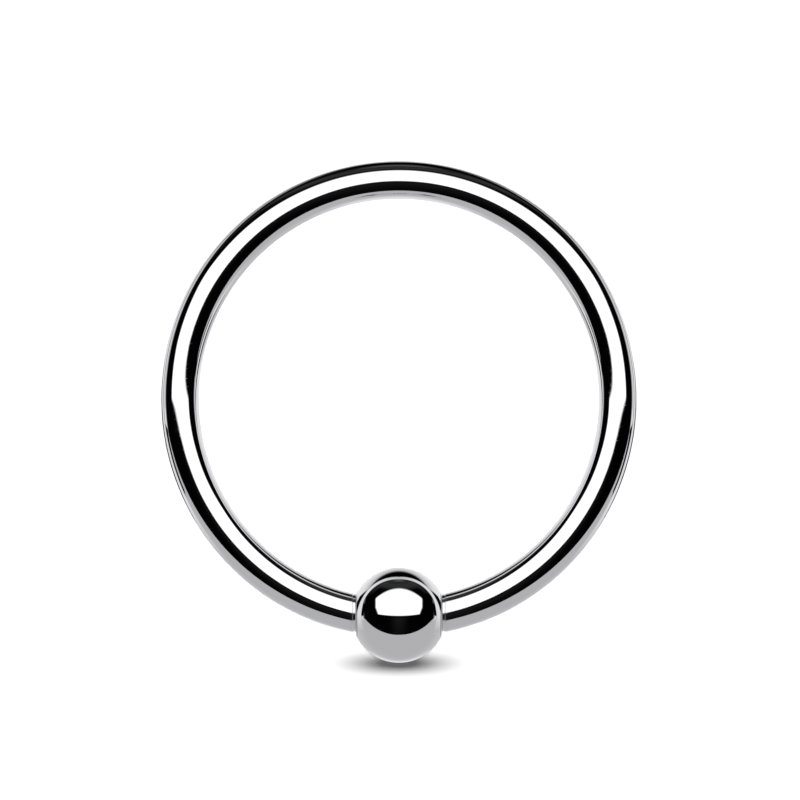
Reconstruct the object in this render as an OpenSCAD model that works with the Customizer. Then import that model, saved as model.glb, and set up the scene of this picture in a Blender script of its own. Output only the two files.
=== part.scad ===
// Captive bead ring for a body piercing: one round wire bent into a hoop, closed by a polished bead.
// The ring lies on its side, at rest on a flat surface at Z = 0. The underside of the bead and the
// stretch of wire opposite it touch the surface, so the plane of the hoop leans by a few degrees.
// The bead lies towards -Y, and X runs from one end of the wire to the other, through the bead.

/* [Wire] */
// Diameter of the round wire
wire_d = 1.2; // [0.8:0.1:1.6]
// Clear diameter inside the hoop, from wire to wire
inner_d = 12.7; // [8:0.1:16]
// Radius of the rounded edge of each wire end
end_round = 0.13; // [0.06:0.01:0.18]
// Height of the fine step where the rounded end begins
end_step = 0.01; // [0.006:0.002:0.03]

/* [Bead] */
// Diameter of the bead
bead_d = 3; // [2.6:0.1:5]
// How far the centre of the bead lies outside the line from one wire end to the other
bead_drop = 0.08; // [0:0.01:0.2]
// How much wider than the wire each dimple is, all round
dimple_margin = 0.05; // [0.02:0.01:0.15]
// Depth of each dimple, from its rim to its floor
dimple_depth = 0.12; // [0.06:0.01:0.25]
// Gap between the rounded edge of a wire end and the dimple that it sits in
seat_gap = 0.02; // [0.01:0.01:0.06]

/* [Fixing pin] */
// Width of the flat shoulder round the pin, on the end of the wire that stays in the bead
pin_shoulder = 0.12; // [0.04:0.01:0.16]
// Length of the pin, from its shoulder
pin_len = 0.8; // [0.4:0.1:1.2]
// Clearance round the pin and beyond its tip
pin_clear = 0.02; // [0.01:0.01:0.04]

/* [Hidden] */
$fn = 96;

// The hoop: radii of the wire and of its centreline
wire_r = wire_d / 2;
hoop_r = inner_d / 2 + wire_r;

// The bead: its dimples have their rims at +rim_x and -rim_x from its centre. The hollow of a
// dimple is part of a larger ball of radius cup_r, whose centre is cup_x from the bead's centre
bead_r = bead_d / 2;
dimple_r = wire_r + dimple_margin;
rim_x = sqrt(bead_r ^ 2 - dimple_r ^ 2);
cup_r = (dimple_r ^ 2 + dimple_depth ^ 2) / (2 * dimple_depth);
cup_x = rim_x - dimple_depth + cup_r;

// A wire end: from end_x, where its fine step is, the rounded edge leads to the flat face at face_x,
// which lies as deep in the hollow as the seat gap lets the rounded edge go
face_r = wire_r - end_step - end_round;
edge_room = cup_r - end_round - seat_gap;
face_x = cup_x - end_round - sqrt(edge_room ^ 2 - (face_r + bead_drop) ^ 2);
end_x = face_x + end_round;

// Distances along Y from the hoop's centre to the wire ends and to the bead's centre
end_dist = sqrt(hoop_r ^ 2 - end_x ^ 2);
bead_dist = end_dist + bead_drop;

// The pin on one end of the wire, and its blind hole in the bead
pin_r = face_r - pin_shoulder;
hole_r = pin_r + pin_clear;
hole_x = face_x - pin_len - pin_clear;

// How the ring lies: the bead and the wire opposite it both touch Z = 0
lean = asin((bead_r - wire_r) / (bead_dist + hoop_r));
rest_y = (bead_dist * cos(lean) + bead_r - hoop_r * cos(lean) - wire_r) / 2;
rest_z = wire_r + hoop_r * sin(lean);

// Lays what is drawn in the plane of the hoop down on the surface
module at_rest() {
    translate([0, rest_y, rest_z])
        rotate([-lean, 0, 0])
            children();
}

// The wire as a ring with a gap, whose two cut faces look along X
module open_wire() {
    difference() {
        rotate_extrude()
            translate([hoop_r, 0])
                circle(wire_r);
        translate([-end_x, -hoop_r - 2 * wire_r, -2 * wire_r])
            cube([2 * end_x, hoop_r, 4 * wire_r]);
    }
}

// Half section of a wire end, with a pin of the given length standing on its face
module end_section(pin) {
    square([face_r, end_round]);
    intersection() {
        translate([face_r, 0])
            circle(end_round);
        translate([face_r, 0])
            square(end_round);
    }
    square([pin_r, end_round + pin]);
}

// A wire end on the side of the hoop that side gives, +1 or -1
module wire_end(side, pin) {
    translate([side * end_x, -end_dist, 0])
        rotate([0, -90 * side, 0])
            rotate_extrude()
                end_section(pin);
}

// The wire: its free end is at -X, and the end that is fixed in the bead is at +X
module hoop() {
    color("#c4c7cc")
        at_rest() {
            open_wire();
            wire_end(-1, 0);
            wire_end(1, pin_len);
        }
}

// Half section of the bead: a half disc with a dimple cut in at each end of its axis
module bead_section() {
    difference() {
        intersection() {
            circle(bead_r);
            translate([0, -bead_r])
                square([bead_r, bead_d]);
        }
        for (side = [-1, 1])
            translate([0, side * cup_x])
                circle(cup_r);
    }
}

// The bead: a ball with two dimples for the wire ends and a blind hole for the pin
module bead() {
    color("#b4b7bd")
        at_rest()
            translate([0, -bead_dist, 0])
                difference() {
                    rotate([0, 90, 0])
                        rotate_extrude()
                            bead_section();
                    translate([hole_x, bead_drop, 0])
                        rotate([0, 90, 0])
                            cylinder(h = rim_x - hole_x, r = hole_r);
                }
}

hoop();
bead();
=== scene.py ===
# %% [markdown]
# # A captive bead ring, lying on a pale table
# The real object is one round titanium wire bent into a hoop and closed by a ball. It is only
# 15 mm across, and every surface is polished like a mirror. Such a thing has hardly any colour
# of its own: what the eye sees is the studio in it. So this lesson first makes two very clean
# meshes, then gives the metal its small faults, and then builds the studio with as much care.

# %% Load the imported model
import math

import bmesh
import bpy
from mathutils import Matrix, Vector


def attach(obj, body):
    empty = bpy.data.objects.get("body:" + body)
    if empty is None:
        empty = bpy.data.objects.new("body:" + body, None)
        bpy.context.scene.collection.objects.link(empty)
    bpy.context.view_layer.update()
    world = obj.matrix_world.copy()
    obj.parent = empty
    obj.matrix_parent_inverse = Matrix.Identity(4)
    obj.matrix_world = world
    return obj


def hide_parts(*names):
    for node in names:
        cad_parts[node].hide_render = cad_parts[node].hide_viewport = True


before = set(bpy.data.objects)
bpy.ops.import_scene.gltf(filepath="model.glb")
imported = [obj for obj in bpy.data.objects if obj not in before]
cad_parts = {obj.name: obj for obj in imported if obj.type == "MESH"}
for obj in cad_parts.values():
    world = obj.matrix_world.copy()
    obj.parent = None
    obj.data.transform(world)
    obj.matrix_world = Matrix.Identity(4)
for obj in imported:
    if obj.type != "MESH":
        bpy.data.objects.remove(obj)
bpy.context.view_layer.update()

# %% [markdown]
# ## The sizes a jeweller would ask for
# A ring like this is ordered by its wire, its clear inner diameter and its ball: here 1.2 mm
# (16 gauge), 12.7 mm and 3 mm. The wire ends sit in two dimples in the ball, so the wire has to
# stop exactly where its rounded edge meets the hollow. The same few lines of geometry that shape
# the solids are used here, so that the mesh and the solids agree to a hair. All are in mm.

# %% Sizes, in mm
WIRE_R = 0.6
HOOP_R = 12.7 / 2 + WIRE_R
BEAD_R = 1.5
END_ROUND = 0.13        # radius of the rounded edge of each wire end
END_STEP = 0.01         # fine step where the rounded end begins
BEAD_DROP = 0.08        # how far the ball lies outside the line between the wire ends
DIMPLE_R = WIRE_R + 0.05
DIMPLE_DEPTH = 0.12
SEAT_GAP = 0.02
PIN_LENGTH = 0.8        # hidden pin that keeps the ball on one end of the wire
PIN_SHOULDER = 0.12
PIN_CLEAR = 0.02

RIM_X = math.sqrt(BEAD_R ** 2 - DIMPLE_R ** 2)
CUP_R = (DIMPLE_R ** 2 + DIMPLE_DEPTH ** 2) / (2 * DIMPLE_DEPTH)
CUP_X = RIM_X - DIMPLE_DEPTH + CUP_R
FACE_R = WIRE_R - END_STEP - END_ROUND
EDGE_ROOM = CUP_R - END_ROUND - SEAT_GAP
FACE_X = CUP_X - END_ROUND - math.sqrt(EDGE_ROOM ** 2 - (FACE_R + BEAD_DROP) ** 2)
END_X = FACE_X + END_ROUND
END_DIST = math.sqrt(HOOP_R ** 2 - END_X ** 2)
BEAD_DIST = END_DIST + BEAD_DROP
PIN_R = FACE_R - PIN_SHOULDER
HOLE_R = PIN_R + PIN_CLEAR
HOLE_X = FACE_X - PIN_LENGTH - PIN_CLEAR
print(f"the wire stops {END_X:.3f} mm from the middle of the ball, "
      f"which is {BEAD_DIST:.3f} mm from the middle of the hoop")

# %% [markdown]
# ## Lying on the table
# The ball is thicker than the wire, so a ring that lies on a table leans: the ball touches, and
# so does the wire opposite it. It is easier to model the hoop flat, round its own middle, and to
# turn every point at the end. One matrix does both, and changes mm to the metres of the scene.

# %% From the hoop's own place to the table
LEAN = math.asin((BEAD_R - WIRE_R) / (BEAD_DIST + HOOP_R))
REST_Y = (BEAD_DIST * math.cos(LEAN) + BEAD_R - HOOP_R * math.cos(LEAN) - WIRE_R) / 2
REST_Z = WIRE_R + HOOP_R * math.sin(LEAN)
AT_REST = (Matrix.Scale(0.001, 4) @ Matrix.Translation((0, REST_Y, REST_Z))
           @ Matrix.Rotation(-LEAN, 4, "X"))
RING_X, RING_Y, RING_Z = (AT_REST.to_3x3() @ Vector(axis) * 1000
                          for axis in ((1, 0, 0), (0, 1, 0), (0, 0, 1)))
HOOP_MIDDLE = AT_REST @ Vector((0, 0, 0))
BALL_CENTRE = AT_REST @ Vector((0, -BEAD_DIST, 0))
print(f"the hoop leans by {math.degrees(LEAN):.2f} degrees")

# %% [markdown]
# ## Meshes from rows of points
# A ready-made torus or ball can't end in a rounded edge or a dimple. Both of our pieces can be
# thought of as rows of points, though: each row is a closed loop, and each loop is sewn to the
# next with four-cornered faces. Blender's bmesh module does the sewing. Even rows keep the
# reflections smooth, which matters more on a mirror than on anything else.

# %% Rows of points and the faces between them
def add_loop(bm, points):
    return [bm.verts.new(point) for point in points]


def sew(bm, loop_a, loop_b):
    """Four-cornered faces between two closed loops with the same number of points."""
    count = len(loop_a)
    for i in range(count):
        j = (i + 1) % count
        bm.faces.new((loop_a[i], loop_a[j], loop_b[j], loop_b[i]))


def cap(bm, loop, centre):
    """Closes a loop with a fan of triangles round its middle."""
    middle = bm.verts.new(centre)
    for i, vert in enumerate(loop):
        bm.faces.new((vert, loop[(i + 1) % len(loop)], middle))


def sharpen(loop):
    """Marks the edges along a loop as sharp, so that the shading breaks there."""
    for i, vert in enumerate(loop):
        other = loop[(i + 1) % len(loop)]
        for edge in vert.link_edges:
            if edge.other_vert(vert) is other:
                edge.smooth = False


print("ready to sew rows of points")

# %% [markdown]
# ## The wire
# The real wire is drawn through a die, cut, turned round a mandrel and polished. Its ends are cut
# square to the line through both of them, so the cut is a little slanted to the wire itself. A
# loop of points is carried round the hoop. Each point of the loop starts and stops on its own
# angle, just where its circle meets the plane of the cut: then the end is truly flat.

# %% The round wire
AROUND = 96             # points round the wire
ALONG = 560             # steps along the hoop


def wire_point(phi, share):
    """A point of the wire: phi goes round the wire, share goes along it from 0 to 1."""
    radius = HOOP_R + WIRE_R * math.cos(phi)
    start = math.asin(END_X / radius)
    angle = start + (2 * math.pi - 2 * start) * share
    return (radius * math.sin(angle), -radius * math.cos(angle), WIRE_R * math.sin(phi))


hoop_mesh = bmesh.new()
phis = [2 * math.pi * i / AROUND for i in range(AROUND)]
wire_loops = [add_loop(hoop_mesh, [wire_point(phi, step / ALONG) for phi in phis])
              for step in range(ALONG + 1)]
for loop_a, loop_b in zip(wire_loops, wire_loops[1:]):
    sew(hoop_mesh, loop_a, loop_b)
print(f"wire: {len(hoop_mesh.verts)} points, each face about "
      f"{2 * math.pi * HOOP_R / ALONG:.3f} mm long")

# %% [markdown]
# ## The two ends of the wire
# A cut wire would scratch, so both ends are dressed on a small wheel: a collar a hundredth of a
# millimetre thinner than the wire, and a rounded edge. The bevel at the start of the collar shows
# on the real ring as a hair-thin light line just before the ball. One end goes on into a thin
# pin, which is fixed in the ball; the other only rests in its dimple. A list of
# (height, radius) pairs describes each end, as for a piece on a lathe.

# %% Rounded ends and the hidden pin
COLLAR = 0.085          # length of the collar, of the 0.13 mm that the end is long
ROUND_STEPS = 8         # rows of the rounded edge
TIP_BEVEL = 0.04        # at the tip of the pin, in mm


def end_profile(pin):
    """(distance from the cut, radius) from the bevel of the collar to the middle of the end."""
    collar_r = FACE_R + END_ROUND
    rows = [(END_STEP, collar_r), (COLLAR, collar_r)]
    for i in range(1, ROUND_STEPS + 1):
        turn = math.pi / 2 * i / ROUND_STEPS
        rows.append((COLLAR + (END_ROUND - COLLAR) * math.sin(turn),
                     FACE_R + END_ROUND * math.cos(turn)))
    if pin:
        tip = END_ROUND + PIN_LENGTH
        rows += [(END_ROUND, PIN_R), (tip - TIP_BEVEL, PIN_R), (tip, PIN_R - TIP_BEVEL)]
    return rows


def add_wire_end(bm, first_loop, side, pin):
    """Carries on from the cut face of the wire towards the ball, on the side +1 or -1."""
    rows = end_profile(pin)
    loop = first_loop
    sharpen(first_loop)
    for number, (height, radius) in enumerate(rows):
        x = side * (END_X - height)
        new = add_loop(bm, [(x, -END_DIST - radius * math.cos(phi), radius * math.sin(phi))
                            for phi in phis])
        sew(bm, loop, new)
        if number == 0 or (pin and height >= END_ROUND and radius <= PIN_R):
            sharpen(new)
        loop = new
    cap(bm, loop, (side * (END_X - rows[-1][0]), -END_DIST, 0))


add_wire_end(hoop_mesh, wire_loops[0], 1, True)
add_wire_end(hoop_mesh, wire_loops[-1], -1, False)
print(f"wire with its ends: {len(hoop_mesh.faces)} faces")

# %% [markdown]
# ## The ball
# The real ball is ground round, and a dimple is sunk into it on both sides for the wire. Where
# the dimple meets the ball there is a crisp rim, broken by polishing to a width that only a lens
# shows. The profile runs from one dimple to the other, and is turned round the line between
# them. On one side the dimple also has the hole for the pin, which lies a little off the middle,
# so there the last loops slide across from the rim's circle to the circle of the hole.

# %% The profile of the ball
TURN = 192              # points round the ball
ARC_STEPS = 96          # steps from rim to rim
RIM_SOFT = 0.012        # width of the broken edge, in mm


def cup_point(radius):
    """(x, radius) of a point in the hollow of the dimple at +X."""
    return CUP_X - math.sqrt(CUP_R ** 2 - radius ** 2), radius


def ball_profile():
    """(x, radius) from the rim of the dimple at -X to the rim at +X, with both edges broken."""
    limit = math.atan2(RIM_X, DIMPLE_R) - RIM_SOFT / BEAD_R
    angles = [-limit + 2 * limit * i / ARC_STEPS for i in range(ARC_STEPS + 1)]
    arc = [(BEAD_R * math.sin(angle), BEAD_R * math.cos(angle)) for angle in angles]
    inner = cup_point(DIMPLE_R - RIM_SOFT)
    rim = []
    for share in (0.25, 0.5, 0.75, 1.0):
        rest = 1 - share
        rim.append(tuple(rest ** 2 * a + 2 * share * rest * b + share ** 2 * c
                         for a, b, c in zip(arc[-1], (RIM_X, DIMPLE_R), inner)))
    return [(-x, r) for x, r in reversed(rim)] + arc + rim


profile = ball_profile()
print(f"ball profile: {len(profile)} rows, rim at x = {RIM_X:.3f} mm")

# %% Turn the profile, and sink the dimples and the hole
bead_mesh = bmesh.new()
turns = [2 * math.pi * i / TURN for i in range(TURN)]


def turned(x, radius, y_shift=0.0):
    return [(x, y_shift - BEAD_DIST - radius * math.cos(t), radius * math.sin(t)) for t in turns]


ball_loops = [add_loop(bead_mesh, turned(x, radius)) for x, radius in profile]
for loop_a, loop_b in zip(ball_loops, ball_loops[1:]):
    sew(bead_mesh, loop_a, loop_b)

CUP_STEPS = 10          # rows from the rim to the middle of a dimple, or to the hole
HOLE_ROW = 1.0          # a row of points part way down the hole, in mm from the middle
loop = ball_loops[0]
for i in range(1, CUP_STEPS):
    x, radius = cup_point((DIMPLE_R - RIM_SOFT) * (1 - i / CUP_STEPS))
    new = add_loop(bead_mesh, turned(-x, radius))
    sew(bead_mesh, new, loop)
    loop = new
cap(bead_mesh, loop, (-(RIM_X - DIMPLE_DEPTH), -BEAD_DIST, 0))

loop = ball_loops[-1]
for i in range(1, CUP_STEPS + 1):
    share = i / CUP_STEPS
    radius = (DIMPLE_R - RIM_SOFT) * (1 - share) + HOLE_R * share
    points = []
    for t in turns:
        y, z = BEAD_DROP * share - radius * math.cos(t), radius * math.sin(t)
        points.append((cup_point(math.hypot(y, z))[0], y - BEAD_DIST, z))
    new = add_loop(bead_mesh, points)
    sew(bead_mesh, loop, new)
    loop = new
sharpen(loop)
for x in (HOLE_ROW, HOLE_X):
    new = add_loop(bead_mesh, turned(x, HOLE_R, BEAD_DROP))
    sew(bead_mesh, loop, new)
    loop = new
sharpen(loop)
cap(bead_mesh, loop, (HOLE_X, BEAD_DROP - BEAD_DIST, 0))
print(f"ball: {len(bead_mesh.faces)} faces")

# %% [markdown]
# ## Coordinates that follow the metal
# Drawing and polishing leave marks that follow the piece: along the wire, and round the ball.
# A texture that is laid through space would cut across them. So each point also stores where it
# lies on the metal, as a vector in mm. Its first two numbers run across the marks and the third
# runs along them. A material reads it back with an Attribute node.

# %% Store the lay of the metal and how near each point is to a worked edge
RING_SQUEEZE = 0.12     # how slowly the marks of the ball change along themselves
END_REACH = 0.35        # mm from the cut of the wire, where its edge wear ends
RIM_REACH = 0.25        # mm from the rim of a dimple, where its edge wear ends


def wire_lay(point):
    """(across, across, along) on the wire, in mm, from a point in the hoop's own place."""
    out = math.hypot(point.x, point.y) - HOOP_R
    return out, point.z, HOOP_R * math.atan2(point.x, -point.y)


def ball_lay(point):
    """(across, across, along) on the ball, whose marks run round the line between the dimples."""
    y = point.y + BEAD_DIST
    return point.x, math.hypot(y, point.z), RING_SQUEEZE * y


def near_end(point):
    """1 at the cut of the wire, fading to 0 over a third of a millimetre."""
    if point.y > 0:
        return 0.0
    return max(0.0, 1 - max(0.0, abs(point.x) - END_X) / END_REACH)


def near_rim(point):
    """1 on the rims of the dimples, fading to 0 over a quarter of a millimetre."""
    radius = math.hypot(point.y + BEAD_DIST, point.z)
    away = math.hypot(abs(point.x) - RIM_X, radius - DIMPLE_R)
    return max(0.0, 1 - away / RIM_REACH)


def add_object(name, data):
    made = bpy.data.objects.new(name, data)
    bpy.context.scene.collection.objects.link(made)
    return made


def store_numbers(mesh, name, numbers):
    """Stores one number with each point of a mesh, for an Attribute node to read."""
    mesh.attributes.new(name, "FLOAT", "POINT").data.foreach_set("value", numbers)


def make_piece(name, bm, lay, edge, node):
    """Turns a bmesh into a piece that replaces a solid: laid on the table, and riding with it."""
    bmesh.ops.recalc_face_normals(bm, faces=bm.faces)
    own_places = [vert.co.copy() for vert in bm.verts]
    for face in bm.faces:
        face.smooth = True
    bmesh.ops.transform(bm, matrix=AT_REST, verts=bm.verts)
    mesh = bpy.data.meshes.new(name)
    bm.to_mesh(mesh)
    bm.free()
    store = mesh.attributes.new("lay", "FLOAT_VECTOR", "POINT")
    store.data.foreach_set("vector", [number for place in own_places for number in lay(place)])
    store_numbers(mesh, "edge", [edge(place) for place in own_places])
    piece = add_object(name, mesh)
    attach(piece, "root")
    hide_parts(node)
    return piece


wire_piece = make_piece("hoop_wire", hoop_mesh, wire_lay, near_end, "hoop")
ball_piece = make_piece("bead_ball", bead_mesh, ball_lay, near_rim, "bead")
for piece in (wire_piece, ball_piece):
    print(piece.name, "triangles:",
          sum(len(face.vertices) - 2 for face in piece.data.polygons))

# %% [markdown]
# ## A workshop for node groups
# The wire and the ball went through the same polishing tub, so they share the same faults, only
# stronger or weaker. A node group is the way to say that once: it has named inputs, and each
# material sets its own values there. A few small helpers keep the building of nodes short.

# %% Helpers for nodes
def add_node(tree, kind, settings=None, **values):
    """A node with its properties set, and its inputs given by name: numbers, or a socket."""
    made = tree.nodes.new(kind)
    for key, value in (settings or {}).items():
        setattr(made, key, value)
    for key, value in values.items():
        socket = made.inputs[int(key[1:])] if key[1:].isdigit() else made.inputs[
            key.replace("_", " ")]
        if isinstance(value, bpy.types.NodeSocket):
            tree.links.new(value, socket)
        else:
            socket.default_value = value
    return made


def maths(tree, operation, a, b=0.0, clamp=False):
    return add_node(tree, "ShaderNodeMath", {"operation": operation, "use_clamp": clamp},
                    i0=a, i1=b).outputs[0]


def ramp(tree, value, start, end, low=0.0, high=1.0, kind="LINEAR"):
    """low where value is at start, high where it is at end, and no further on either side."""
    return add_node(tree, "ShaderNodeMapRange", {"interpolation_type": kind}, Value=value,
                    From_Min=start, From_Max=end, To_Min=low, To_Max=high).outputs[0]


def ease(tree, value, start, end, low=0.0, high=1.0):
    """A ramp with an S curve, which leaves no line where it starts or ends."""
    return ramp(tree, value, start, end, low, high, "SMOOTHSTEP")


def stored(tree, name):
    """The number that store_numbers left on the points."""
    return add_node(tree, "ShaderNodeAttribute", {"attribute_name": name}).outputs["Fac"]


def blank_material(name):
    """A material with an empty node tree, and that tree."""
    material = bpy.data.materials.new(name)
    material.use_nodes = True
    material.node_tree.nodes.clear()
    return material, material.node_tree


def set_surface(tree, shader):
    out = add_node(tree, "ShaderNodeOutputMaterial")
    tree.links.new(shader.outputs[0], out.inputs["Surface"])


def new_group(name, inputs, outputs):
    """A shader node group with named sockets. inputs are (name, kind, value)."""
    group = bpy.data.node_groups.new(name, "ShaderNodeTree")
    for label, kind, value in inputs:
        socket = group.interface.new_socket(label, in_out="INPUT", socket_type=kind)
        socket.default_value = value
    for label, kind in outputs:
        group.interface.new_socket(label, in_out="OUTPUT", socket_type=kind)
    entry = group.nodes.new("NodeGroupInput")
    return group, entry, group.nodes.new("NodeGroupOutput")


NUMBER, VECTOR = "NodeSocketFloat", "NodeSocketVector"
print("ready to build materials")

# %% [markdown]
# ## Drawn lines
# A drawing die leaves lines along the whole wire, and turning leaves rings round a ball. Polishing
# takes nearly all of them off. What is left shows only in a close look, as threads in the
# brightest reflection. Noise makes them: it changes fast across the lay and slowly along it.

# %% Group: drawn lines
THREADS = (0.52, 0.78)  # the noise values where a thread begins and where it is at its strongest
drawn_lines, entry, leave = new_group(
    "drawn lines",
    (("Lay", VECTOR, (0, 0, 0)), ("Lines per mm", NUMBER, 14.0), ("Length", NUMBER, 4.0),
     ("Depth", NUMBER, 1.0)),
    (("Height", NUMBER), ("Mask", NUMBER)))
across = add_node(drawn_lines, "ShaderNodeVectorMath", {"operation": "SCALE"},
                  i0=entry.outputs["Lay"])
drawn_lines.links.new(entry.outputs["Lines per mm"], across.inputs["Scale"])
apart = add_node(drawn_lines, "ShaderNodeSeparateXYZ", i0=across.outputs[0])
slow = maths(drawn_lines, "DIVIDE", apart.outputs[2],
             maths(drawn_lines, "MULTIPLY", entry.outputs["Length"],
                   entry.outputs["Lines per mm"]))
stretched = add_node(drawn_lines, "ShaderNodeCombineXYZ", i0=apart.outputs[0],
                     i1=apart.outputs[1], i2=slow)
threads = add_node(drawn_lines, "ShaderNodeTexNoise", i0=stretched.outputs[0],
                   Scale=1.0, Detail=3.0, Roughness=0.65)
drawn_lines.links.new(
    maths(drawn_lines, "MULTIPLY", threads.outputs[0], entry.outputs["Depth"]),
    leave.inputs["Height"])
drawn_lines.links.new(ramp(drawn_lines, threads.outputs[0], *THREADS), leave.inputs["Mask"])
print("made the group", drawn_lines.name)

# %% [markdown]
# ## Hairline scratches
# Wearing, cleaning and a drawer full of other jewellery leave short straight scratches that run
# every way. Three layers of stretched noise, turned against each other, are cut off high, so that
# only thin separate strokes are left.

# %% Group: hairline scratches
hairlines, entry, leave = new_group(
    "hairline scratches",
    (("Place", VECTOR, (0, 0, 0)), ("Per mm", NUMBER, 3.0), ("Amount", NUMBER, 0.5)),
    (("Mask", NUMBER),))
STROKES = (0.69, 0.76)  # the noise values where a stroke begins and where it is whole
LAYERS = ((0.6, 0.35, 0.0), (-0.9, 1.2, 7.3), (2.1, -0.5, 15.8))    # turn, tilt, shift
strokes = []
for turn, tilt, shift in LAYERS:
    scaled = add_node(hairlines, "ShaderNodeVectorMath", {"operation": "SCALE"},
                      i0=entry.outputs["Place"])
    hairlines.links.new(entry.outputs["Per mm"], scaled.inputs["Scale"])
    turned_way = add_node(hairlines, "ShaderNodeMapping", i0=scaled.outputs[0],
                          Location=(shift, shift * 0.37, shift * 0.71),
                          Rotation=(tilt, 0.3, turn), Scale=(0.5, 16.0, 1.2))
    noise = add_node(hairlines, "ShaderNodeTexNoise", i0=turned_way.outputs[0], Scale=1.0,
                     Detail=1.0, Roughness=0.4)
    strokes.append(ramp(hairlines, noise.outputs[0], *STROKES))
most = maths(hairlines, "MAXIMUM", maths(hairlines, "MAXIMUM", strokes[0], strokes[1]),
             strokes[2])
hairlines.links.new(maths(hairlines, "MULTIPLY", most, entry.outputs["Amount"], True),
                    leave.inputs["Mask"])
print("made the group", hairlines.name)

# %% [markdown]
# ## Haze and ripple
# No polish is even. In some places the buffing wheel stayed longer, a fingertip left a breath of
# grease in others, and the surface as a whole waves by less than a thousandth of a millimetre.
# Haze changes how sharp the reflection is and dulls the colour a little; ripple bends the
# straight edges of the reflection, which is what makes a mirror look like real metal.

# %% Group: haze and ripple
CLOUDS = (0.35, 0.75)   # the noise values where the haze begins and where it is thickest
haze_ripple, entry, leave = new_group(
    "haze and ripple",
    (("Place", VECTOR, (0, 0, 0)), ("Haze per mm", NUMBER, 0.8), ("Ripple per mm", NUMBER, 1.1),
     ("Contrast", NUMBER, 1.0)),
    (("Haze", NUMBER), ("Ripple", NUMBER)))
cloud = add_node(haze_ripple, "ShaderNodeTexNoise", i0=entry.outputs["Place"], Detail=5.0,
                 Roughness=0.6, Distortion=0.4)
haze_ripple.links.new(entry.outputs["Haze per mm"], cloud.inputs["Scale"])
shaped = ramp(haze_ripple, cloud.outputs[0], *CLOUDS)
waves = add_node(haze_ripple, "ShaderNodeTexNoise", i0=entry.outputs["Place"], Detail=1.0,
                 Roughness=0.4)
haze_ripple.links.new(entry.outputs["Ripple per mm"], waves.inputs["Scale"])
haze_ripple.links.new(
    maths(haze_ripple, "MULTIPLY", shaped, entry.outputs["Contrast"], True),
    leave.inputs["Haze"])
haze_ripple.links.new(waves.outputs[0], leave.inputs["Ripple"])
print("made the group", haze_ripple.name)

# %% [markdown]
# ## Rubbed edges
# Where the wire goes into the ball, metal rubs on metal each time the ring is opened. The rims
# and the rounded ends lose a little polish there, in a ragged band. The mesh already knows how
# near each point is to such an edge, and noise breaks that band up.

# %% Group: rubbed edges
WORN = (0.35, 1.0)      # where the wear begins and where it is complete
rubbed_edges, entry, leave = new_group(
    "rubbed edges",
    (("Edge", NUMBER, 0.0), ("Place", VECTOR, (0, 0, 0)), ("Ragged per mm", NUMBER, 9.0),
     ("Reach", NUMBER, 0.5)),
    (("Mask", NUMBER),))
ragged = add_node(rubbed_edges, "ShaderNodeTexNoise", i0=entry.outputs["Place"], Detail=4.0,
                  Roughness=0.7)
rubbed_edges.links.new(entry.outputs["Ragged per mm"], ragged.inputs["Scale"])
bitten = maths(rubbed_edges, "SUBTRACT", entry.outputs["Edge"], ragged.outputs[0])
reached = maths(rubbed_edges, "ADD", bitten, entry.outputs["Reach"])
rubbed_edges.links.new(ramp(rubbed_edges, reached, *WORN), leave.inputs["Mask"])
print("made the group", rubbed_edges.name)

# %% [markdown]
# ## Polished titanium
# Titanium is a little darker and cooler than silver: polished, it gives back about three
# quarters of the light. The shader is Blender's Principled BSDF as a full metal. The groups move
# its roughness between the mirror and the faint haze, darken the colour by a breath, and feed a
# bump that is measured in thousandths of a millimetre. A fine dark line of painted shade is also
# mixed into the colour of the ball round each dimple, where the wire goes in.

# %% The two finishes
TITANIUM = (0.73, 0.73, 0.74)
DULLED = (0.66, 0.66, 0.675)
# painted shade: the colour of the dark line in the seam round each dimple
SEAM_SHADE_COLOUR = (0.03, 0.03, 0.035)
MIRROR = 0.02           # roughness of the clean metal, and what each fault adds to it at most:
HAZE_ADDS, LINES_ADD, SCRATCHES_ADD, RUBBING_ADDS = 0.04, 0.02, 0.18, 0.16
HAZE_DULLS, RUBBING_DULLS = 0.3, 0.7    # share of the dulled colour
SEAM_SHADE_SPAN = (0.60, 0.85)     # how near an edge the painted seam shade begins, and where it is darkest
SCRATCH_DEPTH = 0.15    # thousandths of a millimetre
MICRON = 1e-6           # metres


def use_group(tree, group, **values):
    return add_node(tree, "ShaderNodeGroup", {"node_tree": group}, **values)


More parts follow.
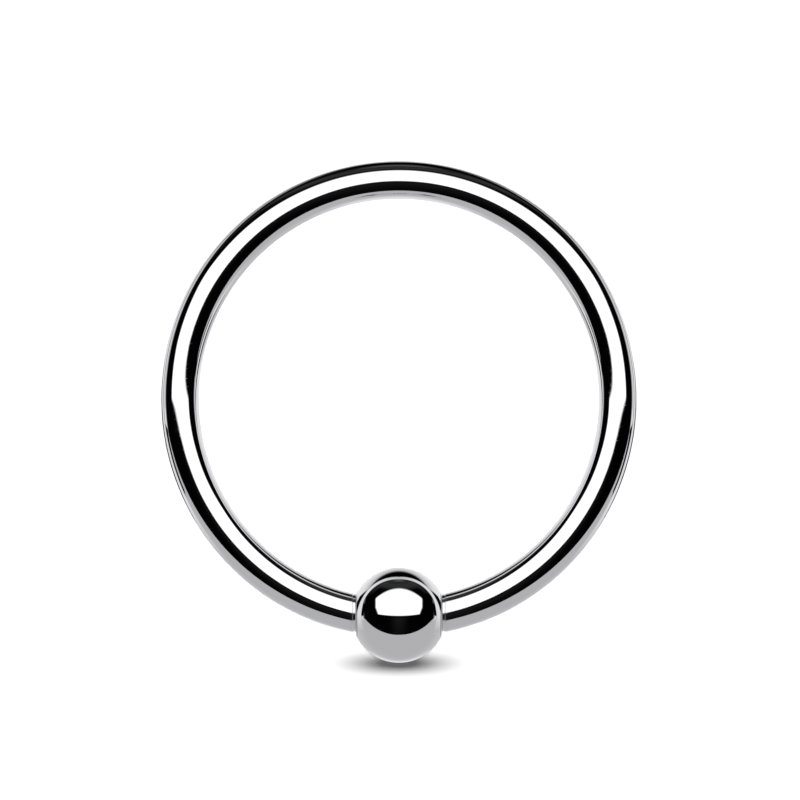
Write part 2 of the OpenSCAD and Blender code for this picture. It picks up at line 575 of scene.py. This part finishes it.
def polished_titanium(name, lines, length, line_depth, scratches, ripple_depth, haze, rub,
                      seam_shade):
    """A polished titanium finish. Depths are in thousandths of a millimetre."""
    material, tree = blank_material(name)
    lay = add_node(tree, "ShaderNodeAttribute", {"attribute_name": "lay"}).outputs["Vector"]
    edge = stored(tree, "edge")
    metres = add_node(tree, "ShaderNodeTexCoord").outputs["Object"]
    place = add_node(tree, "ShaderNodeVectorMath", {"operation": "SCALE"}, i0=metres,
                     Scale=1000.0).outputs[0]

    drawn = use_group(tree, drawn_lines, Lay=lay, Lines_per_mm=lines, Length=length)
    scratched = use_group(tree, hairlines, Place=place, Amount=scratches)
    clouded = use_group(tree, haze_ripple, Place=place, Contrast=haze)
    rubbed = use_group(tree, rubbed_edges, Edge=edge, Place=place, Reach=rub)

    haze_mask, rub_mask = clouded.outputs["Haze"], rubbed.outputs["Mask"]
    rough = MIRROR
    for mask, adds in ((haze_mask, HAZE_ADDS), (drawn.outputs["Mask"], LINES_ADD),
                       (scratched.outputs["Mask"], SCRATCHES_ADD), (rub_mask, RUBBING_ADDS)):
        rough = maths(tree, "ADD", rough, maths(tree, "MULTIPLY", mask, adds))

    dull = maths(tree, "ADD", maths(tree, "MULTIPLY", haze_mask, HAZE_DULLS),
                 maths(tree, "MULTIPLY", rub_mask, RUBBING_DULLS), True)
    tone = add_node(tree, "ShaderNodeMix", {"data_type": "RGBA"}, Factor=dull)
    tone.inputs[6].default_value = (*TITANIUM, 1)
    tone.inputs[7].default_value = (*DULLED, 1)
    # painted shade: the colour darkens towards the rim of each dimple, in the seam by the wire
    shade = add_node(tree, "ShaderNodeMix", {"data_type": "RGBA"},
                     Factor=ease(tree, edge, *SEAM_SHADE_SPAN, 0.0, seam_shade))
    tree.links.new(tone.outputs[2], shade.inputs[6])
    shade.inputs[7].default_value = (*SEAM_SHADE_COLOUR, 1)

    height = maths(tree, "MULTIPLY", drawn.outputs["Height"], line_depth)
    height = maths(tree, "ADD", height,
                   maths(tree, "MULTIPLY", clouded.outputs["Ripple"], ripple_depth))
    height = maths(tree, "SUBTRACT", height,
                   maths(tree, "MULTIPLY", scratched.outputs["Mask"], SCRATCH_DEPTH))
    bump = add_node(tree, "ShaderNodeBump", Strength=1.0, Distance=MICRON, Height=height)

    set_surface(tree, add_node(
        tree, "ShaderNodeBsdfPrincipled", Metallic=1.0, Roughness=rough,
        Base_Color=shade.outputs[2], Normal=bump.outputs[0]))
    return material


wire_piece.data.materials.append(polished_titanium(
    "polished wire", lines=16.0, length=6.0, line_depth=0.04, scratches=0.35, ripple_depth=2.0,
    haze=0.6, rub=0.35, seam_shade=0.0))
ball_piece.data.materials.append(polished_titanium(
    "polished bead", lines=22.0, length=3.0, line_depth=0.02, scratches=0.3, ripple_depth=1.2,
    haze=0.5, rub=0.3, seam_shade=0.85))
print("finishes:", [material.name for material in bpy.data.materials])

# %% [markdown]
# ## The table
# The ring lies on a plain white sheet. It has to reach far enough that its edge is never in the
# picture. A mirror on a white sheet would show the sheet nearly everywhere, and a ring that is
# white all over can't be seen on white. Product photographers therefore put dark and light cards
# round the piece. Here the sheet is hidden from the metal's reflections only, and the studio that
# comes next is shown there instead.

# %% A plain pale sheet
def stage_mesh(name, points, faces, material):
    """A piece of the studio. It isn't part of the ring."""
    mesh = bpy.data.meshes.new(name)
    mesh.from_pydata(points, [], faces)
    mesh.materials.append(material)
    made = add_object(name, mesh)
    return made


def hide_from(made, *rays):
    """Hides an object from some kinds of ray: camera, diffuse, glossy or shadow."""
    for ray in rays:
        setattr(made, "visible_" + ray, False)


SHEET_R = 0.9           # metres
SHEET_CORNERS = 64
paper, tree = blank_material("white sheet")
set_surface(tree, add_node(tree, "ShaderNodeBsdfDiffuse", Color=(0.9, 0.9, 0.9, 1)))
sheet_turns = [2 * math.pi * i / SHEET_CORNERS for i in range(SHEET_CORNERS)]
sheet = stage_mesh("white_sheet", [(SHEET_R * math.cos(a), SHEET_R * math.sin(a), 0)
                                   for a in sheet_turns], [tuple(range(SHEET_CORNERS))], paper)
hide_from(sheet, "glossy")
print("sheet radius:", SHEET_R, "m")

# %% [markdown]
# ## The softbox
# One large softbox hangs over the ring, tilted. In the ball it shows as a white window with an
# arched top. A mirror turns a direction by twice the tilt of its surface, so the outline of the
# window on the ball can be drawn first, and each of its points sent out along its reflection to
# where the softbox must be. `mirror_direction` does that for a viewer who looks down the axis.
# The cloth of a real softbox is dimmer along its frame, so the window gets a soft border too.

# %% A window drawn on the ball, thrown out into the studio
def mirror_direction(nx, ny):
    """Where a surface facing (nx, ny) sends the eye, in the scene's directions."""
    nz = math.sqrt(max(0.0, 1 - nx * nx - ny * ny))
    return (2 * nz * nx) * RING_X + (2 * nz * ny) * RING_Y + (2 * nz * nz - 1) * RING_Z


# Outline of the window, in shares of the ball's radius
WINDOW_TOP, ARCH = 0.590, 0.9       # highest point, and how fast the top falls to the sides
WINDOW_LOW, LOW_RISE = -0.008, 0.18     # lowest point, and how fast the lower edge rises
WINDOW_HALF, OPENS, OPEN_AT = 0.452, 0.055, 0.4     # half width below, and how it opens above
FAR_LOW, FAR_HIGH = 0.12, 0.042     # metres from the ball, at the lower edge and at the top
SOFT_SIDE, SOFT_LOW, SOFT_HIGH = 0.08, 0.035, 0.09      # soft border, as shares of the window
CORNER = 1.1            # radius of the upper corners, as a share of the soft border
SOFTBOX_LEVEL = 1.55
COLUMNS, STOREYS = 80, 60


def window_low(nx):
    return WINDOW_LOW + LOW_RISE * nx * nx


def window_high(nx):
    return WINDOW_TOP - ARCH * nx * nx


def window_half(rise):
    """Half the width of the window: it opens a little from its lower corners."""
    return WINDOW_HALF + OPENS * min(1.0, rise / OPEN_AT)


def inset_of(across, rise):
    """0 on the border of the window, 1 where its soft border ends; the upper corners are round."""
    side, low, high = (1 - abs(across)) / SOFT_SIDE, rise / SOFT_LOW, (1 - rise) / SOFT_HIGH
    if side < CORNER and high < CORNER:
        return min(low, CORNER - math.hypot(CORNER - side, CORNER - high))
    return min(side, low, high)


def grid_faces(columns, rows, first=0):
    """Four-cornered faces between points that are listed column by column, from first on."""
    corners = [first + i * (rows + 1) + j for i in range(columns) for j in range(rows)]
    return [(a, a + 1, a + rows + 2, a + rows + 1) for a in corners]


points, inset = [], []
for i in range(COLUMNS + 1):
    across = 2 * i / COLUMNS - 1
    for j in range(STOREYS + 1):
        rise = j / STOREYS
        nx = window_half(rise) * across
        ny = window_low(nx) + (window_high(nx) - window_low(nx)) * rise
        far = FAR_LOW + (FAR_HIGH - FAR_LOW) * ny / WINDOW_TOP
        points.append(BALL_CENTRE + far * mirror_direction(nx, ny))
        inset.append(inset_of(across, rise))

softbox_cloth, tree = blank_material("softbox light")
set_surface(tree, add_node(tree, "ShaderNodeEmission", Color=(1, 1, 1, 1), Strength=maths(
    tree, "MULTIPLY", ease(tree, stored(tree, "inset"), 0.0, 1.0), SOFTBOX_LEVEL)))
softbox = stage_mesh("softbox", points, grid_faces(COLUMNS, STOREYS), softbox_cloth)
store_numbers(softbox.data, "inset", inset)
hide_from(softbox, "camera", "diffuse", "shadow")
print("softbox:", COLUMNS * STOREYS, "panels,",
      [round(c * 1000) for c in softbox.dimensions], "mm")

# %% [markdown]
# ## The pale card in front
# A long pale card stands just in front of the ball. It gives the even light grey of the lower
# part of the ball and of the lower half of the hoop, and its top edge draws the curved border to
# the black above it. The card is cut lower towards both ends, so that this border has no corner
# where the card ends. It is no lamp, yet it glows: painted light, a little stronger towards its
# ends, where the hoop sees it, and much stronger near the foot of its middle, which paints the
# bright rim under the ball.

# %% The front card
CARD_BELOW = 0.0091     # metres from the middle of the ball, towards the viewer's feet
CARD_FOOT = -0.09       # metres, how far down the camera's line it reaches
COOL_WHITE = (0.985, 0.985, 1.0, 1)
CARD_LEVELS, CARD_HEIGHTS = (0.60, 0.68), (-0.001, -0.012)  # how pale it is at these heights
END_ADDS, END_SPAN = 0.34, (0.045, 0.140)   # more light towards the ends, metres from the middle
FOOT_ADDS, FOOT_HEIGHTS = 0.28, (-0.006, -0.016)    # more light low down, between these heights
FOOT_SPAN = (0.008, 0.003)          # metres from the middle, where that light fades in
# Upper edge: (mm from the middle, mm towards the camera)
CARD_EDGE = ((0, 9.1), (8, 9.0), (16, 8.6), (22, 8.1), (28, 7.5), (35, 6.7), (45, 5.2), (60, 2.7),
             (75, -0.4), (88, -4.3), (100, -8.5), (115, -14.2), (130, -20.4), (160, -25.1),
             (400, -62.8))
card_edge = [(-x, z) for x, z in reversed(CARD_EDGE[1:])] + list(CARD_EDGE)
card_points = []
for x, z in card_edge:
    foot = BALL_CENTRE + x / 1000 * RING_X - CARD_BELOW * RING_Y
    card_points += [foot + z / 1000 * RING_Z, foot + CARD_FOOT * RING_Z]

# painted light: the card glows by itself, brighter towards its ends and at the foot of its middle
card_glow, tree = blank_material("pale card")
apart = add_node(tree, "ShaderNodeSeparateXYZ",
                 i0=add_node(tree, "ShaderNodeTexCoord").outputs["Object"])
from_middle = maths(tree, "ABSOLUTE", apart.outputs[0])
downward = ramp(tree, apart.outputs[2], *CARD_HEIGHTS, *CARD_LEVELS)
outward = ease(tree, from_middle, *END_SPAN, 0.0, END_ADDS)
at_foot = maths(tree, "MULTIPLY", ramp(tree, apart.outputs[2], *FOOT_HEIGHTS),
                ramp(tree, from_middle, *FOOT_SPAN, 0.0, FOOT_ADDS))
strength = maths(tree, "ADD", maths(tree, "ADD", downward, outward), at_foot)
set_surface(tree, add_node(tree, "ShaderNodeEmission", Color=COOL_WHITE, Strength=strength))
front_card = stage_mesh("front_card", card_points, grid_faces(len(card_edge) - 1, 1), card_glow)
hide_from(front_card, "camera", "diffuse", "shadow")
print("front card:", [round(c * 1000) for c in front_card.dimensions], "mm")

# %% [markdown]
# ## Calm reflections
# A mirror ball on a mirror hoop shows the whole hoop a second time, as a busy bundle of lines
# under its upper rim, and the hoop shows its own far side. In the picture both are calm: black,
# with one pale arc on the ball, and a short dark wedge on both sides where the wire goes in. So
# the wire is kept out of the reflections, as a retoucher would do it, and a pale strip with black
# margins and two black wedges stand in for it. They lie low round the ring, nearly all of them
# under the sheet, where the ball sees them and most of the hoop doesn't. The ball itself still
# shows in the wire. The strip is drawn on the ball and thrown outwards, like the window.

# %% The strip and the wedges, low round the ring
wire_piece.visible_glossy = False
STRIP_FAR = 15.0        # mm from the skin of the ball
STRIP_TURN, TAIL_TURN = 90, 114     # degrees from the top of the ball: it fades between them
TOP_LEVEL, FULL_TURN = 0.7, 40      # the strip is dimmer at the top, and full from this turn on
# Middle and half width of the strip, in shares of the ball's radius: at the top, then what the
# sine of the turn or each of two spans of degrees adds on the way down to the sides
STRIP_MIDDLE, MIDDLE_RISE, MIDDLE_LAST = 0.794, 0.042, 0.018
STRIP_HALF, HALF_FIRST, HALF_LAST = 0.025, 0.014, 0.017
FIRST_SPAN, LAST_SPAN = (62, 82), (80, 92)
STRIP_SOFT = 0.006      # half the width of the strip's soft edge
BLACK_IN = 0.745        # at the sides a black margin lies along the strip, from here
BLACK_FROM = 72         # degrees from the top of the ball, where that margin begins
WEDGE_TURNS = (51, 91)  # degrees from the top of the ball
WEDGE_GAP, WEDGE_WIDE, WEDGE_OPENS = 0.006, 0.058, 14   # it opens to its width in 14 degrees
WEDGE_LIMIT = 0.935     # and reaches no further out than this share of the radius
TAIL_LEVEL = 0.62       # as pale as the card in front, into which the strip fades


def smooth(value, start, end):
    """0 before start, 1 after end, and an S curve between them."""
    t = min(1.0, max(0.0, (value - start) / (end - start)))
    return t * t * (3 - 2 * t)


def strip_edges(degrees):
    """Where the strip begins and ends at this turn, as shares of the ball's radius."""
    degrees = min(90.0, abs(degrees))
    last = smooth(degrees, *LAST_SPAN)
    middle = STRIP_MIDDLE + MIDDLE_RISE * math.sin(math.radians(degrees)) + MIDDLE_LAST * last
    half = STRIP_HALF + HALF_FIRST * smooth(degrees, *FIRST_SPAN) + HALF_LAST * last
    return middle - half, middle + half


def thrown(degrees, share):
    """Where the ball looks at this turn from its top and this share of its radius."""
    turn = math.radians(degrees)
    nx, ny = share * math.sin(turn), share * math.cos(turn)
    skin = nx * RING_X + ny * RING_Y + math.sqrt(1 - share * share) * RING_Z
    return BALL_CENTRE + (BEAD_R * skin + STRIP_FAR * mirror_direction(nx, ny)) / 1000


STRIP_STEPS, STRIP_ROWS, WEDGE_STEPS = 104, 5, 20
points, strip = [], []
for i in range(STRIP_STEPS + 1):
    turn = TAIL_TURN * (2 * i / STRIP_STEPS - 1)
    lift = min(1.0, abs(turn) / FULL_TURN)
    tail = max(0.0, (abs(turn) - STRIP_TURN) / (TAIL_TURN - STRIP_TURN))
    level = (TOP_LEVEL + (1 - TOP_LEVEL) * lift) * (1 - tail) + TAIL_LEVEL * tail
    inner, outer = strip_edges(turn)
    first = inner - 2 * STRIP_SOFT if tail or abs(turn) < BLACK_FROM else BLACK_IN
    for share, pale in ((first, 0), (inner - STRIP_SOFT, 0), (inner + STRIP_SOFT, 1),
                        (outer - STRIP_SOFT, 1), (outer + STRIP_SOFT, 0)):
        points.append(thrown(turn, share))
        strip.append(pale * level + (1 - pale) * (TAIL_LEVEL if tail else 0.0))
faces = grid_faces(STRIP_STEPS, STRIP_ROWS - 1)
for side in (-1, 1):
    faces += grid_faces(WEDGE_STEPS, 1, len(points))
    for i in range(WEDGE_STEPS + 1):
        opened = (WEDGE_TURNS[1] - WEDGE_TURNS[0]) * i / WEDGE_STEPS
        turn = WEDGE_TURNS[0] + opened
        inner = strip_edges(turn)[1] + WEDGE_GAP
        outer = min(WEDGE_LIMIT, inner + WEDGE_WIDE * min(1.0, opened / WEDGE_OPENS))
        points += [thrown(side * turn, inner), thrown(side * turn, outer)]
        strip += [0.0, 0.0]

strip_paint, tree = blank_material("strip and wedges")
set_surface(tree, add_node(tree, "ShaderNodeEmission", Color=COOL_WHITE,
                           Strength=stored(tree, "strip")))
under_sheet = stage_mesh("strip_under_sheet", points, faces, strip_paint)
store_numbers(under_sheet.data, "strip", strip)
hide_from(under_sheet, "camera", "diffuse", "shadow")
print("the strip lies between", [round(pick(point.z for point in points) * 1000, 2)
                                 for pick in (min, max)], "mm over the sheet")

# %% [markdown]
# ## The rest of the studio
# Everything else is one dark room with pale walls low down. It is painted on the world, once for
# each kind of ray: the camera sees white, the sheet gets an even light, and the metal sees the
# room. The room is drawn in the same way as the window, on the surface of a ball: the direction
# and the axis are added and made one long again, which gives the way such a surface would face.
# Its walls are pale outside an oval. Inside it is black, but for a faint ceiling over the window,
# a faint glint at the top of the ball, and a breath of light below its middle.

# %% The room, drawn on the world
WALL_OVAL = (0.755, 0.10, 0.84)     # half width, middle and half height of the dark oval
WALLS = (0.62, 1.0)     # how pale the walls are at the border of the oval, and further out
GLINT = (0.10, 0.02)    # in the middle, and to the sides
BELOW = (0.010, 0.002)  # near the middle of the ball, and further down
CEILING, DARK, AMBIENT = 0.035, 0.001, 0.08     # AMBIENT is the even light on the sheet
# Where things lie, in shares of the ball's radius: (from, to, softness of the border)
WALL_SPAN, WALL_FULL = (1.0, 9.0, 0.03), 1.13       # these count in sizes of the oval
GLINT_RING, GLINT_HIGH, GLINT_WIDE = (0.72, 0.80, 0.02), (0.5, 2.0, 0.1), (0.02, 0.18)
CEILING_WIDE, CEILING_HIGH = (-0.36, 0.36, 0.14), (0.58, 0.70, 0.04)
BELOW_WIDE, BELOW_RING, BELOW_HIGH = (0.0, 0.26), (0.1, 0.46), (-2.0, -0.04, 0.05)

world = bpy.data.worlds.new("studio")
bpy.context.scene.world = world
world.use_nodes = True
tree = world.node_tree
tree.nodes.clear()
direction = add_node(tree, "ShaderNodeTexCoord").outputs["Generated"]


def vector_maths(tree, operation, a, b=(0, 0, 0), output=0):
    return add_node(tree, "ShaderNodeVectorMath", {"operation": operation},
                    i0=a, i1=b).outputs[output]


facing = vector_maths(tree, "NORMALIZE", vector_maths(tree, "ADD", direction, RING_Z[:]))
nx = vector_maths(tree, "DOT_PRODUCT", facing, RING_X[:], "Value")
ny = vector_maths(tree, "DOT_PRODUCT", facing, RING_Y[:], "Value")
radius = maths(tree, "SQRT", maths(tree, "ADD", maths(tree, "MULTIPLY", nx, nx),
                                   maths(tree, "MULTIPLY", ny, ny)))


def between(tree, value, low, high, soft):
    """1 where value is between low and high, with soft borders."""
    return maths(tree, "MULTIPLY", ease(tree, value, low - soft, low + soft),
                 ease(tree, value, high - soft, high + soft, 1.0, 0.0))


def oval(tree, half_x, middle_y, half_y):
    """The size of the oval round the given middle on which (nx, ny) lies; 1 is its border."""
    x = maths(tree, "DIVIDE", nx, half_x)
    y = maths(tree, "DIVIDE", maths(tree, "SUBTRACT", ny, middle_y), half_y)
    return maths(tree, "SQRT", maths(tree, "ADD", maths(tree, "MULTIPLY", x, x),
                                     maths(tree, "MULTIPLY", y, y)))


outside = oval(tree, *WALL_OVAL)
sideways = maths(tree, "ABSOLUTE", nx)
walls = maths(tree, "MULTIPLY", between(tree, outside, *WALL_SPAN),
              ramp(tree, outside, WALL_SPAN[0], WALL_FULL, *WALLS))
glint = maths(tree, "MULTIPLY", maths(tree, "MULTIPLY", between(tree, radius, *GLINT_RING),
                                      between(tree, ny, *GLINT_HIGH)),
              ease(tree, sideways, *GLINT_WIDE, *GLINT))
ceiling = maths(tree, "MULTIPLY", between(tree, nx, *CEILING_WIDE),
                between(tree, ny, *CEILING_HIGH))
below = maths(tree, "MULTIPLY", maths(tree, "MULTIPLY", ease(tree, sideways, *BELOW_WIDE, 1.0, 0.0),
                                      ramp(tree, radius, *BELOW_RING, *BELOW)),
              between(tree, ny, *BELOW_HIGH))
level = maths(tree, "MULTIPLY", ceiling, CEILING)
for part in (below, glint, walls, DARK):
    level = maths(tree, "ADD", level, part)

paths = add_node(tree, "ShaderNodeLightPath")
for_sheet = add_node(tree, "ShaderNodeBackground", Color=(1, 1, 1, 1), Strength=AMBIENT)
for_metal = add_node(tree, "ShaderNodeBackground", Color=COOL_WHITE, Strength=level)
for_camera = add_node(tree, "ShaderNodeBackground", Color=(1, 1, 1, 1), Strength=1.0)
first = add_node(tree, "ShaderNodeMixShader", i0=paths.outputs["Is Glossy Ray"],
                 i1=for_sheet.outputs[0], i2=for_metal.outputs[0])
second = add_node(tree, "ShaderNodeMixShader", i0=paths.outputs["Is Camera Ray"],
                  i1=first.outputs[0], i2=for_camera.outputs[0])
tree.links.new(second.outputs[0], add_node(tree, "ShaderNodeOutputWorld").inputs["Surface"])
print("the studio has", len(tree.nodes), "nodes")

# %% [markdown]
# ## The shadow of the ball
# In the picture the only shadow is a small soft one under the ball, wide and flat, and darkest
# where it goes in under the metal. Real lamps that throw just this shadow and none of the wire
# would need many flags. A piece of tinted film on the sheet is simpler: it is clear at its border
# and dark in the middle, and it only dims the lamps, so it isn't seen itself. Its tint follows a
# bell curve, wide across the picture and narrow along it.

# %% A film that shades the sheet
SHADE_MIDDLE = -1.545   # mm along the picture from the middle of the ball
SHADE_WIDE, SHADE_HIGH = 1.16, 0.25     # mm, the spread of the bell curve
SHADE_REACH = 3.6       # times its spread, where it has faded out
FILM_ABOVE = 0.02       # mm over the sheet
SHADE_DEPTH = 1.12      # over 1, so that the middle is black over a small patch
FILM_COLUMNS, FILM_ROWS = 72, 48


def film_point(x, y):
    """The point of the film that the camera sees at (x, y) mm from the middle of the ball."""
    down = (BALL_CENTRE.z * 1000 - FILM_ABOVE + x * RING_X.z + y * RING_Y.z) / RING_Z.z
    return BALL_CENTRE + (x * RING_X + y * RING_Y - down * RING_Z) / 1000


points, tint = [], []
for i in range(FILM_COLUMNS + 1):
    across = SHADE_REACH * (2 * i / FILM_COLUMNS - 1)
    for j in range(FILM_ROWS + 1):
        along = SHADE_REACH * (2 * j / FILM_ROWS - 1)
        points.append(film_point(across * SHADE_WIDE, SHADE_MIDDLE + along * SHADE_HIGH))
        tint.append(min(1.0, SHADE_DEPTH * math.exp(-(across ** 2 + along ** 2) / 2)))

film_tint, tree = blank_material("film tint")
set_surface(tree, add_node(tree, "ShaderNodeBsdfTransparent",
                           Color=maths(tree, "SUBTRACT", 1.0, stored(tree, "tint"))))
film = stage_mesh("shading_film", points, grid_faces(FILM_COLUMNS, FILM_ROWS), film_tint)
store_numbers(film.data, "tint", tint)
hide_from(film, "camera", "diffuse", "glossy")
print("film:", [round(c * 1000, 1) for c in film.dimensions], "mm")

# %% [markdown]
# ## Two lamps for the sheet
# The sheet gets most of its light from two lamps, bright enough to burn the paper out to a clean
# white. Both hang on the camera's own line, so all the shadows that they throw lie hidden behind
# the metal, and are seen only from the side. The wire's shadow would still be too dark there, so
# the wire blocks only the first lamp: the second one is blocked by the ball and the film alone.

# %% The lamps
LAMP_FAR = 0.45         # metres from the middle of the hoop, just behind the camera


def add_lamp(name, watts, size):
    """A round lamp over the hoop that lights the sheet and isn't seen in the metal."""
    data = bpy.data.lights.new(name, "AREA")
    data.shape, data.size, data.energy = "DISK", size, watts
    made = add_object(name, data)
    made.matrix_world = (Matrix.Translation(HOOP_MIDDLE + LAMP_FAR * RING_Z)
                         @ RING_Z.to_track_quat("Z", "Y").to_matrix().to_4x4())
    hide_from(made, "glossy", "camera")
    print(name, "at", [round(c, 3) for c in made.location])
    return made


add_lamp("first lamp", 1.40, 0.05)
second_lamp = add_lamp("second lamp", 1.20, 0.02)
blockers = bpy.data.collections.new("blocks the second lamp")
for blocker in (ball_piece, film):
    blockers.objects.link(blocker)
second_lamp.light_linking.blocker_collection = blockers

# %% [markdown]
# ## The camera
# The picture looks straight down the hoop's own axis, from above the table and a little to one
# side of upright, because the hoop leans. A very long lens from 40 cm away keeps the circle
# round. Three unit vectors, to the right, up and back towards the camera, place it exactly.

# %% Camera
CAMERA_FAR = 0.4        # metres from the hoop's middle
FIELD = 0.025397        # width of the picture at the hoop, in metres
PICTURE = 800           # its width and height in pixels
HOOP_AT = (398.9, 398.95)   # where the middle of the hoop lies in it
camera_data = bpy.data.cameras.new("camera")
camera_data.sensor_width = 36.0
camera_data.lens = camera_data.sensor_width * CAMERA_FAR / FIELD
camera_data.clip_start, camera_data.clip_end = 0.01, 10.0
camera = add_object("camera", camera_data)
bpy.context.scene.camera = camera

right, down = ((PICTURE / 2 - place) * FIELD / PICTURE for place in HOOP_AT)
aim = HOOP_MIDDLE + right * RING_X - down * RING_Y
camera.matrix_world = Matrix.Translation(aim + CAMERA_FAR * RING_Z) @ Matrix(
    (RING_X, RING_Y, RING_Z)).transposed().to_4x4()
print(f"lens {camera_data.lens:.0f} mm, camera at", [round(c, 4) for c in camera.location])

# %% [markdown]
# ## Tones
# The plain "Standard" view keeps white as white and black as black, as a product picture on a
# white page needs.

# %% View and the end
bpy.context.scene.view_settings.view_transform = "Standard"
bpy.context.view_layer.update()
